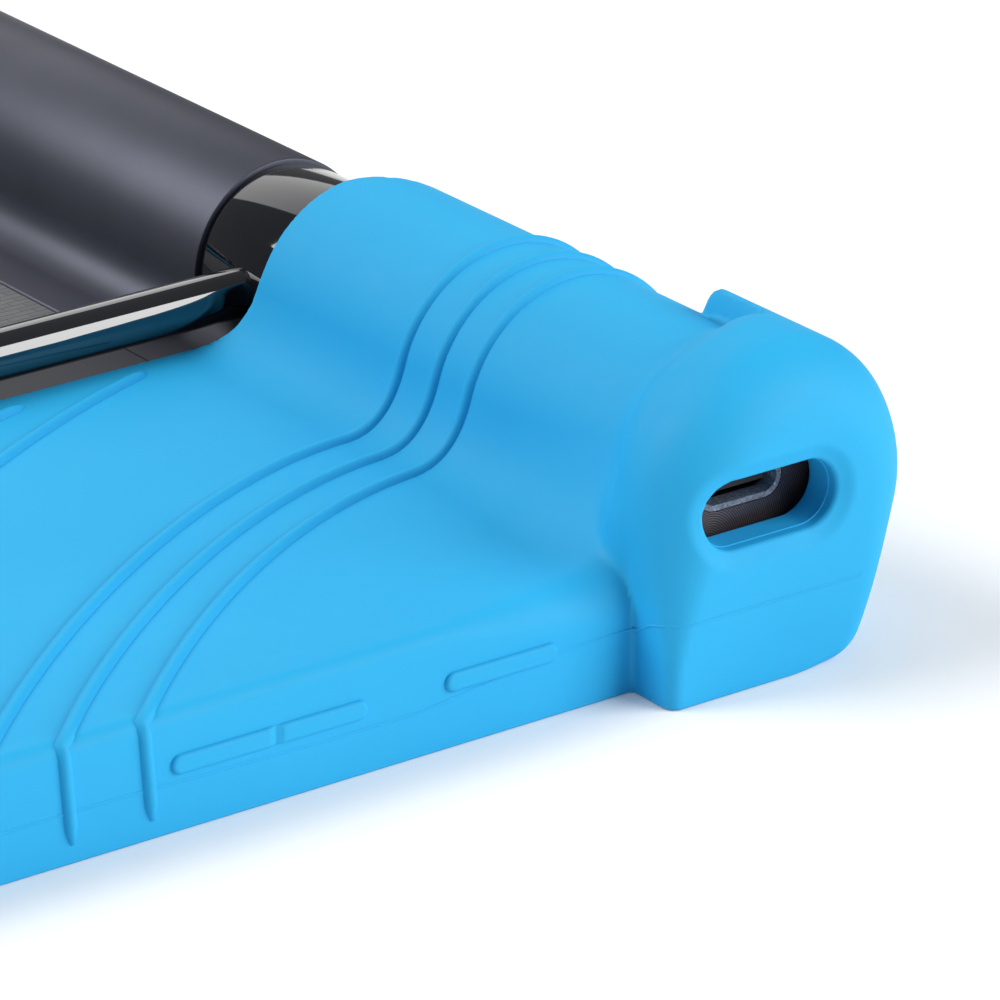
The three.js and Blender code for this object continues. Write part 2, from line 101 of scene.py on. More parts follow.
# openings in the case
OPENING_END = -84
OPENING_HALF = 57.2
OPENING_CORNER_R = 8
WINDOW = {"edge": 7, "end": -3, "half": 119.7, "radius": 9.6, "top": 2.0}
SLOT = (-4.75, 17.0, 14.8, 6.6)  # the plug's way in: middle in X and Z, length, height
SLOT_DEPTH_Y = -124
SPEAKER_SLOT = (-110, 6.9, 22, 3.2)
SPEAKER_REACH = 120
CAMERA_HOLE_R = 8

# end cup
CUP_CENTRE = (-1.0, 15.0)
CUP_R = CASE_HIGH[2] - 0.06 - CUP_CENTRE[1]
CUP_TURN = math.radians(62)  # where the crown hands over to the outer shoulder
CUP_SHOULDER_R = 12.0
CUP_SHOULDER = (
    CUP_CENTRE[0] + (CUP_R - CUP_SHOULDER_R) * math.cos(CUP_TURN),
    CUP_CENTRE[1] + (CUP_R - CUP_SHOULDER_R) * math.sin(CUP_TURN),
)
CUP_START = 108.7
LEDGE = 8.6  # how much further in the cup reaches on the grip's outer side
SLOT_DIP = 0.6  # the face sinks a little round the slot

# plates
PLATE_CORNER = 14
LENS_HOLE_R = 5.6
KNIT_HALF = 48.6
KNIT_END = -134
KNIT_CORNER = 3

# port
PORT_LIP = 1.8  # depth of its sheared lip
PORT_STEP = 0.1  # open gap between the lip and the shell behind it, which is black as painted shade deeper in the port
RINGS_CENTRE = (-7.8, 12.4)  # of the end caps' turned rings, in X and Z

# ------------------------------------------------------------------ signed distances
# Each takes arrays of millimetres and is negative inside the material.


def union_round(a, b, r):
    """Both solids joined, with a fillet of radius r between them."""
    return np.maximum(r, np.minimum(a, b)) - np.hypot(np.maximum(r - a, 0), np.maximum(r - b, 0))


def meet_round(a, b, r):
    """What both solids share, its edges rounded to radius r."""
    return np.minimum(-r, np.maximum(a, b)) + np.hypot(np.maximum(r + a, 0), np.maximum(r + b, 0))


def cut_round(a, b, r):
    """The first solid with the second cut out of it, the new edges rounded."""
    return meet_round(a, -b, r)


def ease(value, low, high):
    """From 0 at low to 1 at high, smoothly."""
    t = np.clip((value - low) / (high - low), 0, 1)
    return t * t * (3 - 2 * t)


def rounded_rect(x, y, x0, x1, half, radius):
    """A rectangle from x0 to x1 and half either way in y, with round corners."""
    qx = np.abs(x - (x0 + x1) / 2) - (x1 - x0) / 2 + radius
    qy = np.abs(y) - half + radius
    return np.hypot(np.maximum(qx, 0), np.maximum(qy, 0)) + np.minimum(np.maximum(qx, qy), 0) - radius


def stadium(u, v, u0, v0, length, height):
    reach = (length - height) / 2
    du = np.maximum(np.abs(u - u0) - reach, 0)
    return np.hypot(du, v - v0) - height / 2


def grip_section(x, z, radius, floor):
    """The grip across its axis: a circle with its straight front flank, down to the floor."""
    rise = z - AXIS_Z
    circle = np.hypot(x, rise) - radius
    flank = math.cos(TAPER) * x + math.sin(TAPER) * rise - radius
    leave = radius * math.sin(TAPER)
    wedge = np.maximum(np.maximum(flank, rise - leave), -x)
    return np.maximum(np.minimum(circle, wedge), floor - z)


def body_section(x, z, radius, back, floor, fillet):
    """Slab and grip together across the grip's axis."""
    slab = np.maximum(z - back, x)
    return np.maximum(union_round(slab, grip_section(x, z, radius, floor - BELOW), fillet), floor - z)


def cup_section(x, z):
    """The end cup across the grip's axis: crown, outer shoulder, straight flank and upright foot."""
    cx, cz = CUP_CENTRE
    sx, sz = CUP_SHOULDER
    crown = np.hypot(x - cx, z - cz) - CUP_R
    shoulder = np.hypot(x - sx, z - sz) - CUP_SHOULDER_R
    flank = math.cos(TAPER) * (x - sx) + math.sin(TAPER) * (z - sz) - CUP_SHOULDER_R
    outer_side = (z - cz) * math.cos(CUP_TURN) - (x - cx) * math.sin(CUP_TURN) < 0
    below = np.arctan2(z - sz, x - sx) < TAPER
    right = np.where(below & (x > sx), flank, np.where(z < sz - 4, np.maximum(flank, shoulder), shoulder))
    right = np.where(x < sx, flank, right)
    left = np.where(z < cz, cx - CUP_R - x, crown)
    return np.where(outer_side & (x > cx), right, left)


def grip_angle(x, z):
    """Degrees round the grip's axis: 0 outwards, 90 up, 180 towards the slab."""
    angle = np.degrees(np.arctan2(z - AXIS_Z, x))
    return np.where(angle < -90, angle + 360, angle)


def cup_start(angle):
    """Where the cup begins along Y, round the grip: a ledge on its outer side reaches furthest in."""
    ledge = LEDGE * ease(angle, 65.5, 72.5)
    return CUP_START + ledge + 2.3 * ease(angle, 74, 105) + 2.0 * ease(angle, 127, 172)


def face_round(x, z):
    """How far the cup's end face is rounded off: widely at the crown, little at the foot."""
    right = 3.0 + 4.6 * ease(z, 3, 24)
    left = 1.3 + 5.2 * ease(z, 2, 19)
    share = ease(x, -9, 1)
    return left * (1 - share) + right * share


def outside(x, y, z):
    """The case as if it were solid: slab, grip and both end cups, without its openings."""
    ay = np.abs(y)
    edge_round = 1.4 + 3.4 * ease(x, -42, -14)
    fillet = 6.3 + 2.6 * ease(ay, 100, 122)
    section = body_section(x, z, CASE_R, CASE_BACK, -BELOW, fillet)
    outline = rounded_rect(x, y, CASE_EDGE, PAST_GRIP, CASE_SIDE, CASE_CORNER_R)
    body = meet_round(section, outline, edge_round)
    angle = grip_angle(x, z)
    soft = ease(angle, 66, 80)
    crest = 1.7 + 1.9 * soft
    dip = SLOT_DIP * (1 - ease(stadium(x, z, *SLOT), 0, 1.9)) * (y < 0)
    cup = meet_round(cup_section(x, z), ay - CAP_FACE + dip, face_round(x, z))
    cup = meet_round(cup, cup_start(angle) - ay, crest)
    low = ease(z, 10, 17)
    blend = (0.3 + 4.0 * soft) * low + 0.3 * (1 - low)
    both = union_round(body, cup, blend)
    both = np.maximum(both, x - CASE_FRONT)
    foot = 0.25 + 2.1 * ease(x, -3, 7)
    return meet_round(both, -z, foot)


def tablet_space(x, y, z):
    """The room inside the case, a small gap larger than the tablet."""
    ay = np.abs(y)
    back = PANEL_HIGH[2] + WALL_GAP
    section = body_section(x, z, GRIP_R + WALL_GAP, back, GLASS_LOW[2] - WALL_GAP, 3.7)
    edge = CASE_EDGE + 2.3
    outline = rounded_rect(x, y, edge, PAST_GRIP, PANEL_HIGH[1] + WALL_GAP, TABLET_CORNER_R)
    slab = np.maximum(section, outline)
    grip = grip_section(x, z, GRIP_R + WALL_GAP, GLASS_LOW[2] - WALL_GAP)
    ends = np.maximum(grip, ay - GRIP_END - WALL_GAP)
    return np.minimum(slab, ends)


def back_opening(x, y, z):
    """The opening over the panel, the kickstand and the grip, wider where it crosses the grip."""
    half = OPENING_HALF + 4.4 * ease(x, -18.3, -11) + 2.8 * ease(100 - grip_angle(x, z), -5, 45)
    plan = rounded_rect(x, y, OPENING_END, 40, half, OPENING_CORNER_R)
    bottom = 8.6 - 2.4 * ease(x, -4, 4)
    return np.maximum(plan, bottom - z)


def silicone(x, y, z):
    """The whole case."""
    solid = outside(x, y, z)
    solid = np.maximum(solid, -tablet_space(x, y, z))
    glass = rounded_rect(x, y, CASE_EDGE + WINDOW["edge"], WINDOW["end"], WINDOW["half"], WINDOW["radius"])
    window = np.maximum(glass, z - WINDOW["top"])
    solid = cut_round(solid, window, 0.5)
    solid = cut_round(solid, back_opening(x, y, z), 0.85)
    slot = stadium(x, z, *SLOT)
    solid = cut_round(solid, np.maximum(slot, y - SLOT_DEPTH_Y), 0.4)
    camera = np.hypot(x - LENS_MID[0], y - LENS_MID[1]) - CAMERA_HOLE_R
    solid = cut_round(solid, np.maximum(camera, 9 - z), 0.6)
    speaker = np.maximum(stadium(x, z, *SPEAKER_SLOT), SPEAKER_REACH - np.abs(y))
    return cut_round(solid, speaker, 0.4)


# ------------------------------------------------------------------ meshing


def gradient(field, points, step=0.02):
    slopes = []
    for axis in range(3):
        ahead, behind = points.copy(), points.copy()
        ahead[:, axis] += step
        behind[:, axis] -= step
        slopes.append(field(*ahead.T) - field(*behind.T))
    return np.stack(slopes, 1) / (2 * step)


def onto_surface(field, points, rounds=4, reach=0.5):
    """Moves points straight onto the surface, a little at a time."""
    for _ in range(rounds):
        slope = gradient(field, points)
        size = np.maximum((slope ** 2).sum(1), 0.25)
        move = np.clip(field(*points.T) / size, -reach, reach)
        points = points - slope * move[:, None]
    return points


def unit(vectors):
    return vectors / np.maximum(np.linalg.norm(vectors, axis=-1, keepdims=True), 1e-9)


def surface_net(field, xs, ys, zs):
    """Quads on the zero surface of a field, over a grid that may be finer in places."""
    across, upward = xs[:, None, None], zs[None, None, :]
    slabs = [field(across, part[None, :, None], upward) for part in np.array_split(ys, 8)]
    values = np.concatenate(slabs, axis=1)
    inside = values < 0
    corners = [(i, j, k) for i in (0, 1) for j in (0, 1) for k in (0, 1)]
    nx, ny, nz = values.shape
    count = np.zeros((nx - 1, ny - 1, nz - 1), np.int8)
    for i, j, k in corners:
        count += inside[i:nx - 1 + i, j:ny - 1 + j, k:nz - 1 + k]
    active = (count > 0) & (count < 8)
    cell = np.argwhere(active)
    number = np.full(active.shape, -1, np.int64)
    number[active] = np.arange(len(cell))
    total = np.zeros((len(cell), 3))
    hits = np.zeros(len(cell))
    for a in corners:
        for axis in range(3):
            if a[axis]:
                continue
            b = tuple(1 if n == axis else a[n] for n in range(3))
            ia, ib = (cell + a).T, (cell + b).T
            va, vb = values[tuple(ia)], values[tuple(ib)]
            crossed = (va < 0) != (vb < 0)
            t = np.where(crossed, va / np.where(crossed, va - vb, 1), 0)
            pa = np.stack([xs[ia[0]], ys[ia[1]], zs[ia[2]]], 1)
            pb = np.stack([xs[ib[0]], ys[ib[1]], zs[ib[2]]], 1)
            total += np.where(crossed[:, None], pa + t[:, None] * (pb - pa), 0)
            hits += crossed
    verts = total / hits[:, None]
    quads = []
    for axis in range(3):
        u, v = (axis + 1) % 3, (axis + 2) % 3
        lower = [slice(None)] * 3
        upper = [slice(None)] * 3
        lower[axis], upper[axis] = slice(0, -1), slice(1, None)
        for other in (u, v):
            lower[other] = upper[other] = slice(1, -1)
        start, end = inside[tuple(lower)], inside[tuple(upper)]
        edges = np.argwhere(start != end)
        outward = start[tuple(edges.T)]
        ring = []
        for du, dv in ((0, 0), (1, 0), (1, 1), (0, 1)):
            index = edges.copy()
            index[:, u] += du
            index[:, v] += dv
            ring.append(number[tuple(index.T)])
        ring = np.stack(ring, 1)
        ring[~outward] = ring[~outward][:, ::-1]
        quads.append(ring)
    return verts, np.concatenate(quads)


def spaced(*stretches):
    """Grid lines over stretches of (start, end, step), each sharing its end with the next."""
    lines = [np.linspace(a, b, max(2, int(round((b - a) / step)) + 1)) for a, b, step in stretches]
    return np.unique(np.concatenate(lines).round(4))


def both_sides(lines):
    return np.unique(np.concatenate([-lines[::-1], lines]).round(4))


def new_piece(name, verts, faces, look, body):
    """A mesh piece from millimetre points, riding on a body."""
    mesh = bpy.data.meshes.new(name)
    verts = (np.asarray(verts, float) + [GRIP_X, 0, 0]) * MM
    mesh.from_pydata(verts.tolist(), [], [list(map(int, f)) for f in faces])
    mesh.validate()
    mesh.shade_smooth()
    mesh.materials.append(LOOKS[look])
    piece = bpy.data.objects.new(name, mesh)
    bpy.context.scene.collection.objects.link(piece)
    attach(piece, body)
    return piece


def smooth_by_angle(piece, degrees):
    """Marks edges sharper than an angle, so that flat ends and round sides each shade well."""
    piece.data.set_sharp_from_angle(angle=math.radians(degrees))
    return piece


def open_rings(rings):
    """Quads that join each ring of points to the next."""
    count = len(rings[0])
    faces = []
    for i in range(len(rings) - 1):
        for j in range(count):
            a, b = i * count + j, i * count + (j + 1) % count
            faces.append((a, b, b + count, a + count))
    return faces


def closed_rings(rings):
    """Quads that join each ring of points to the next, and the last one to the first."""
    count = len(rings[0])
    faces = []
    for i in range(len(rings)):
        following = (i + 1) % len(rings)
        for j in range(count):
            k = (j + 1) % count
            faces.append((i * count + j, following * count + j, following * count + k, i * count + k))
    return faces


# ------------------------------------------------------------------ materials


class Nodes:
    """A small helper that adds nodes to one material."""

    def __init__(self, name):
        self.material = bpy.data.materials.new(name)
        self.material.use_nodes = True
        self.tree = self.material.node_tree
        self.tree.nodes.clear()
        self.out = self.add("ShaderNodeOutputMaterial")
        self.shader = self.add("ShaderNodeBsdfPrincipled")
        self.link(self.shader.outputs[0], self.out.inputs["Surface"])
        self.place = self.add("ShaderNodeTexCoord").outputs["Object"]

    def add(self, kind, **values):
        node = self.tree.nodes.new(kind)
        for key, value in values.items():
            setattr(node, key, value)
        return node

    def link(self, source, target):
        self.tree.links.new(source, target)

    def set(self, **values):
        for key, value in values.items():
            self.shader.inputs[key.replace("_", " ")].default_value = value
        return self

    def noise(self, scale, detail=3.0, roughness=0.5, stretch=None):
        node = self.add("ShaderNodeTexNoise")
        node.inputs["Scale"].default_value = scale
        node.inputs["Detail"].default_value = detail
        node.inputs["Roughness"].default_value = roughness
        source = self.mapped(stretch) if stretch else self.place
        self.link(source, node.inputs["Vector"])
        return node.outputs["Fac"]

    def mapped(self, stretch):
        mapping = self.add("ShaderNodeMapping")
        mapping.inputs["Scale"].default_value = stretch
        self.link(self.place, mapping.inputs["Vector"])
        return mapping.outputs["Vector"]

    def ramp(self, source, stops):
        node = self.add("ShaderNodeValToRGB")
        while len(node.color_ramp.elements) < len(stops):
            node.color_ramp.elements.new(0.5)
        for element, (place, color) in zip(node.color_ramp.elements, stops):
            element.position = place
            element.color = (*color, 1)
        self.link(source, node.inputs["Fac"])
        return node.outputs["Color"]

    def between(self, source, low, high):
        node = self.add("ShaderNodeMapRange")
        node.inputs["To Min"].default_value = low
        node.inputs["To Max"].default_value = high
        self.link(source, node.inputs["Value"])
        return node.outputs["Result"]

    def math(self, operation, a, b):
        node = self.add("ShaderNodeMath", operation=operation)
        for socket, value in zip(node.inputs, (a, b)):
            if isinstance(value, (int, float)):
                socket.default_value = value
            else:
                self.link(value, socket)
        return node.outputs[0]

    def bump(self, *layers):
        """Layers of (height, strength, distance in metres), each over the last."""
        normal = None
        for height, strength, distance in layers:
            node = self.add("ShaderNodeBump")
            node.inputs["Strength"].default_value = strength
            node.inputs["Distance"].default_value = distance
            self.link(height, node.inputs["Height"])
            if normal:
                self.link(normal, node.inputs["Normal"])
            normal = node.outputs["Normal"]
        self.link(normal, self.shader.inputs["Normal"])
        return self

    def color(self, source):
        self.link(source, self.shader.inputs["Base Color"])
        return self

    def rough(self, source):
        self.link(source, self.shader.inputs["Roughness"])
        return self


def silicone_material():
    """Bright blue silicone rubber, matt, with a faint cloudiness."""
    m = Nodes("silicone")
    cloud = m.noise(35, 2)
    m.color(m.ramp(cloud, [(0.3, (0.016, 0.412, 0.775)), (0.7, (0.020, 0.432, 0.800))]))
    m.rough(m.between(m.noise(420, 2), 0.60, 0.70))
    m.set(Specular_IOR_Level=0.34)
    m.bump((m.noise(2600, 2), 0.06, 0.0001), (m.noise(60, 2), 0.05, 0.0008))
    return m.material


def satin_material(name="satin_grey", low=(0.062, 0.066, 0.090), high=(0.072, 0.076, 0.102)):
    """Fine satin paint on metal."""
    m = Nodes(name)
    grain = m.noise(3200, 2)
    m.color(m.ramp(m.noise(90, 3), [(0.3, low), (0.7, high)]))
    m.rough(m.between(grain, 0.44, 0.52))
    m.set(Metallic=0.55, Specular_IOR_Level=0.5)
    m.bump((grain, 0.10, 0.00003))
    return m.material


def gloss_material(name="gloss_black", coat=0.0):
    """Polished black, with a clear coat over it on the rod."""
    m = Nodes(name)
    m.color(m.ramp(m.noise(140, 3), [(0.3, (0.0045, 0.0055, 0.0085)), (0.7, (0.006, 0.007, 0.011))]))
    m.rough(m.between(m.noise(700, 4), 0.03, 0.08))
    m.set(Specular_IOR_Level=0.75, Coat_Weight=coat, Coat_IOR=1.6, Coat_Roughness=0.05)
    m.bump((m.noise(1500, 2), 0.02, 0.00001))
    return m.material


def knit_material():
    """Fine knit in dashes along X, those of every second row half a step further on."""
    m = Nodes("knit_grey")
    weave = m.add("ShaderNodeTexBrick")
    weave.offset = 0.5
    weave.inputs["Scale"].default_value = 1.0
    weave.inputs["Brick Width"].default_value = 2.4
    weave.inputs["Row Height"].default_value = 0.9
    weave.inputs["Mortar Size"].default_value = 0.13
    weave.inputs["Mortar Smooth"].default_value = 0.8
    weave.inputs["Color1"].default_value = (0.118, 0.128, 0.134, 1)
    weave.inputs["Color2"].default_value = (0.092, 0.100, 0.106, 1)
    weave.inputs["Mortar"].default_value = (0.060, 0.065, 0.071, 1)
    m.link(m.mapped((1000, 1000, 1000)), weave.inputs["Vector"])
    m.color(weave.outputs["Color"])
    m.rough(m.between(m.noise(2500, 3), 0.75, 0.95))
    m.set(Sheen_Weight=0.3, Sheen_Roughness=0.5)
    height = m.math("SUBTRACT", 1.0, weave.outputs["Fac"])
    m.bump((height, 0.4, 0.0002), (m.noise(6000, 3), 0.4, 0.0001))
    return m.material


def glass_material():
    m = Nodes("cover_glass_black")
    m.color(m.ramp(m.noise(20, 3), [(0.35, (0.004, 0.0045, 0.005)), (0.65, (0.006, 0.0065, 0.0075))]))
    m.rough(m.between(m.noise(55, 5), 0.015, 0.07))
    m.set(Specular_IOR_Level=0.6, Coat_Weight=1.0, Coat_Roughness=0.02)
    return m.material


def turned_material():
    """Dark metallic plastic, faced on a lathe: fine rings about a centre beside and below the port."""
    m = Nodes("turned_dark")
    wave = m.add("ShaderNodeTexWave", wave_type="RINGS", rings_direction="Y")
    wave.inputs["Scale"].default_value = 1400
    wave.inputs["Distortion"].default_value = 0.2
    shift = m.add("ShaderNodeVectorMath", operation="SUBTRACT")
    centre_x, centre_z = RINGS_CENTRE
    shift.inputs[1].default_value = ((GRIP_X + centre_x) * MM, 0, centre_z * MM)
    m.link(m.place, shift.inputs[0])
    m.link(shift.outputs[0], wave.inputs["Vector"])
    m.color(m.ramp(wave.outputs["Fac"], [(0.2, (0.085, 0.070, 0.076)), (0.8, (0.170, 0.138, 0.142))]))
    m.rough(m.between(m.noise(900, 3), 0.25, 0.4))
    m.set(Metallic=0.7)
    m.bump((wave.outputs["Fac"], 0.5, 0.00004))
    return m.material


def plastic_material():
    m = Nodes("matte_black")
    m.color(m.ramp(m.noise(200, 3), [(0.3, (0.010, 0.011, 0.013)), (0.7, (0.016, 0.017, 0.020))]))
    m.rough(m.between(m.noise(1500, 3), 0.42, 0.58))
    m.bump((m.noise(3000, 3), 0.12, 0.00004))
    return m.material


def lit_rim_material():
    """The port's raw, sheared edge: speckled bright and dark, its brightness partly painted light falling in
    through the opening.
    """
    m = Nodes("port_rim")
    speck = m.noise(3400, 6, 0.8)
    # Speckle of the sheared metal; the bright stops are partly painted light falling in through the opening
    stops = [(0.35, (0.09, 0.11, 0.15)), (0.55, (0.30, 0.34, 0.41)), (0.70, (0.80, 0.86, 0.95))]
    m.color(m.ramp(speck, stops))
    m.rough(m.between(m.noise(2600, 4), 0.35, 0.7))
    m.set(Metallic=0.3)
    m.bump((speck, 0.8, 0.00012))
    return m.material


def steel_material():
    m = Nodes("plain_steel")
    brush = m.noise(900, 4, stretch=(1, 0.05, 1))
    m.color(m.ramp(brush, [(0.3, (0.42, 0.43, 0.44)), (0.7, (0.56, 0.57, 0.58))]))
    m.rough(m.between(brush, 0.22, 0.36))
    m.set(Metallic=1.0)
    m.bump((brush, 0.12, 0.00003))
    return m.material


def frame_material():
    m = Nodes("frame_dark")
    m.color(m.ramp(m.noise(2200, 2), [(0.3, (0.040, 0.042, 0.048)), (0.7, (0.060, 0.062, 0.070))]))
    m.rough(m.between(m.noise(1800, 3), 0.38, 0.5))
    m.set(Metallic=0.7)
    m.bump((m.noise(2600, 2), 0.2, 0.00004))
    return m.material


def board_material():
    m = Nodes("circuit_green")
    tracks = m.add("ShaderNodeTexBrick")
    tracks.inputs["Scale"].default_value = 260
    tracks.inputs["Color1"].default_value = (0.010, 0.085, 0.038, 1)
    tracks.inputs["Color2"].default_value = (0.014, 0.110, 0.050, 1)
    tracks.inputs["Mortar"].default_value = (0.30, 0.20, 0.06, 1)
    tracks.inputs["Mortar Size"].default_value = 0.012
    m.link(m.place, tracks.inputs["Vector"])
    m.color(tracks.outputs["Color"])
    m.rough(m.between(m.noise(700, 3), 0.3, 0.5))
    m.bump((tracks.outputs["Fac"], 0.2, 0.00005))
    return m.material


def cell_material():
    m = Nodes("cell_wrap")
    m.color(m.ramp(m.noise(60, 3), [(0.3, (0.020, 0.130, 0.400)), (0.7, (0.028, 0.165, 0.460))]))
    m.rough(m.between(m.noise(300, 4), 0.2, 0.35))
    m.bump((m.noise(250, 3), 0.2, 0.0002))
    return m.material


def display_material():
    m = Nodes("display_dark")
    m.color(m.ramp(m.noise(40, 2), [(0.4, (0.008, 0.009, 0.011)), (0.6, (0.012, 0.013, 0.016))]))
    m.rough(m.between(m.noise(500, 3), 0.2, 0.35))
    return m.material


LOOKS = {
    "silicone": silicone_material(),
    "satin": satin_material(),
    "border": satin_material("satin_dark", (0.026, 0.028, 0.039), (0.031, 0.033, 0.045)),
    "gloss": gloss_material(),
    "rod": gloss_material("rod_black", 1.0),
    "knit": knit_material(),
    "glass": glass_material(),
    "plastic": plastic_material(),
    "turned": turned_material(),
    # The port lip's look: its brightness is partly painted light
    "rim": lit_rim_material(),
    "steel": steel_material(),
    "frame": frame_material(),
    "board": board_material(),
    "cell": cell_material(),
    "display": display_material(),
}
for row in frame["record"]["subparts"]:
    node = frame["nodes"][row["node"]]
    node.data.materials.clear()
    node.data.materials.append(LOOKS[row["material_slot"]])

# ------------------------------------------------------------------ the silicone case


def case_grid():
    """Grid lines, closer together where the case has small rounds."""
    xs = spaced(
        (CASE_EDGE - 0.9, CASE_EDGE + 8, 0.6), (CASE_EDGE + 8, -88, 2.4), (-88, -81, 0.7),
        (-81, -24, 2.4), (-24, -17, 1.0), (-17, -12.8, 0.6), (-12.8, 3.2, 0.4),
        (3.2, CASE_FRONT + 0.6, 0.6),
    )
    half = spaced(
        (0, 48, 3.0), (48, 68, 0.6), (68, 98, 2.4), (98, 106, 1.2), (106, 126, 0.6),
        (126, CAP_FACE + 0.6, 0.36),
    )
    zs = spaced(
        (-0.5, 2.2, 0.3), (2.2, 8.4, 0.62), (8.4, 12.4, 0.5), (12.4, 22, 0.36),
        (22, CASE_HIGH[2] + 0.6, 0.55),
    )
    return xs, both_sides(half), zs


def smooth_case():
    verts, quads = surface_net(silicone, *case_grid())
    verts = onto_surface(silicone, verts)
    piece = new_piece("case_body", verts, quads, "silicone", "tablet")
    normals = unit(gradient(silicone, verts, 0.05))
    piece.data.normals_split_custom_set_from_vertices(normals.tolist())
    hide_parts("silicone_case")


def sweep(name, path, profile, taper=3):
    """A low strip with a given cross-section (across, up) that follows the case's surface.

    It shrinks over its last points and is kept within the case's widest front.
    """
    path = onto_surface(outside, np.asarray(path, float), rounds=8)
    ahead = np.vstack([path[1:] - path[:-1], path[-1:] - path[-2:-1]])
    behind = np.vstack([ahead[:1], ahead[:-1]])
    tangent = unit(ahead + behind)
    up = unit(gradient(outside, path, 0.05))
    across = unit(np.cross(tangent, up))
    scale = np.ones(len(path))
    for i in range(taper):
        size = math.sin((i + 0.6) / taper * math.pi / 2)
        scale[i] = min(scale[i], size)
        scale[-1 - i] = min(scale[-1 - i], size)
    profile = np.asarray(profile, float)
    shrink = scale[:, None, None]
    sideways, height = profile[None, :, 0:1], profile[None, :, 1:2]
    lift = height * np.where(height > 0, shrink, 1)
    rings = path[:, None, :] + across[:, None, :] * (sideways * shrink) + up[:, None, :] * lift
    n, k = len(path), len(profile)
    verts = rings.reshape(-1, 3)
    verts[:, 0] = np.minimum(verts[:, 0], CASE_FRONT)
    faces = []
    for i in range(n - 1):
        for j in range(k):
            a, b = i * k + j, i * k + (j + 1) % k
            faces.append((a, a + k, b + k, b))
    faces.append(tuple(range(k)))
    faces.append(tuple(range((n - 1) * k, n * k))[::-1])
    return new_piece(name, verts, faces, "silicone", "tablet")


def bezier(points, count):
    t = np.linspace(0, 1, count)[:, None]
    a, b, c, d = (np.asarray(p, float) for p in points)
    return (1 - t) ** 3 * a + 3 * (1 - t) ** 2 * t * b + 3 * (1 - t) * t ** 2 * c + t ** 3 * d


def resampled(points, step):
    points = np.asarray(points, float)
    lengths = np.concatenate([[0], np.cumsum(np.linalg.norm(np.diff(points, axis=0), axis=1))])
    where = np.linspace(0, lengths[-1], int(lengths[-1] / step) + 2)
    return np.stack([np.interp(where, lengths, points[:, i]) for i in range(3)], 1)


RIB_PROFILE = [
    (-0.74, -0.25), (0.74, -0.25), (0.66, 0.03), (0.52, 0.31), (0.30, 0.52), (0.0, 0.58), (-0.30, 0.52),
    (-0.52, 0.31), (-0.66, 0.03),
]

# Each long rib, on the slab's back: its curve's four points from the side wall's fold to the grip.
LONG_RIBS = [
    {"curve": [(-85.5, 126.7), (-70, 110.0), (-38, 85.6), (-18.5, 85.4)], "grip": 85.5},
    {"curve": [(-77.2, 126.7), (-64, 112.5), (-37, 91.6), (-18.0, 90.7)], "grip": 90.8},
    {"curve": [(-69.0, 126.7), (-58, 115.5), (-36, 97.0), (-17.5, 95.8)], "grip": 95.9},
]
SHORT_RIBS = [
    {"curve": [(-121, 126.7), (-104, 100), (-62, 66), (-38, 60.6)]},
    {"curve": [(-113, 126.7), (-97, 101), (-50, 68), (-24, 60.4)]},
]


def wall_run(fold, side):
    """A rib's run up the side wall, leaning a little."""
    lean, foot = 0.8, 1.9
    heights = np.linspace(foot, CASE_BACK, 12)
    return [(fold + lean * (1 - z / CASE_BACK), side * CASE_SIDE, z) for z in heights]


def rib_over_grip(y, side):
    """A rib's run over the grip and a short way down its front flank."""
    drop = 6.2
    angles = np.radians(np.linspace(174, -24, 60))
    over = [(CASE_R * math.cos(a), side * y, AXIS_Z + CASE_R * math.sin(a)) for a in angles]
    foot = (over[-1][0] - drop * math.tan(-TAPER), side * y, over[-1][2] - drop)
    return over + [foot]


def make_ribs():
    for side, word in ((-1, "near"), (1, "far")):
        for i, rib in enumerate(LONG_RIBS + SHORT_RIBS):
            fold = rib["curve"][0][0]
            across = bezier([(x, side * y, CASE_BACK) for x, y in rib["curve"]], 70)
            path = across.tolist()
            if "grip" in rib:
                path = wall_run(fold, side) + path + rib_over_grip(rib["grip"], side)
            sweep(f"case_rib_{word}_{i + 1}", resampled(path, 0.8), RIB_PROFILE)


LINE_PROFILE = [(-0.16, -0.08), (0.16, -0.08), (0.10, 0.05), (0.0, 0.09), (-0.10, 0.05)]


def make_parting_line():
    """The mould's thin flash line, low along the side walls and a little higher on the cups."""
    for side, word in ((-1, "near"), (1, "far")):
        wall = [(-140, 4.9), (-72, 4.9), (-50, 4.4), (-40, 4.4), (-24, 6.2), (-16.6, 6.3)]
        path = [(x, side * CASE_SIDE, z) for x, z in wall]
        path += [(-16.5, side * (CASE_SIDE + 0.6), 6.3), (-16.5, side * (CAP_FACE - 3), 7.6)]
        path += [(-13.5, side * CAP_FACE, 8.0), (6, side * CAP_FACE, 8.0)]
        sweep(f"case_flash_{word}", resampled(path, 0.9), LINE_PROFILE)


def pad_outline(x, z, length, height, inset, count):
    """A pill's outline, evenly laid out so that it can be cut across anywhere along its straight part."""
    radius = height / 2 - inset
    reach = (length - height) / 2
    angles = np.radians(np.linspace(-90, 90, count))
    right = np.stack([x + reach + radius * np.cos(angles), z + radius * np.sin(angles)], 1)
    along = np.linspace(x + reach, x - reach, 3 * count)[1:-1]
    top = np.stack([along, np.full(len(along), z + radius)], 1)
    left = np.stack([2 * x - right[:, 0], 2 * z - right[:, 1]], 1)
    bottom = np.stack([along[::-1], np.full(len(along), z - radius)], 1)
    return np.concatenate([right, top, left, bottom])


# A pad from its buried base to its top: how far in from its outline, and how high.
PAD_STEPS = [
    (0.0, -0.7), (0.0, -0.02), (0.04, 0.16), (0.14, 0.30), (0.30, 0.38), (0.50, 0.40), (0.72, 0.40),
    (0.90, 0.40),
]
PAD_TOP = 0.4
PAD_END_POINTS = 17


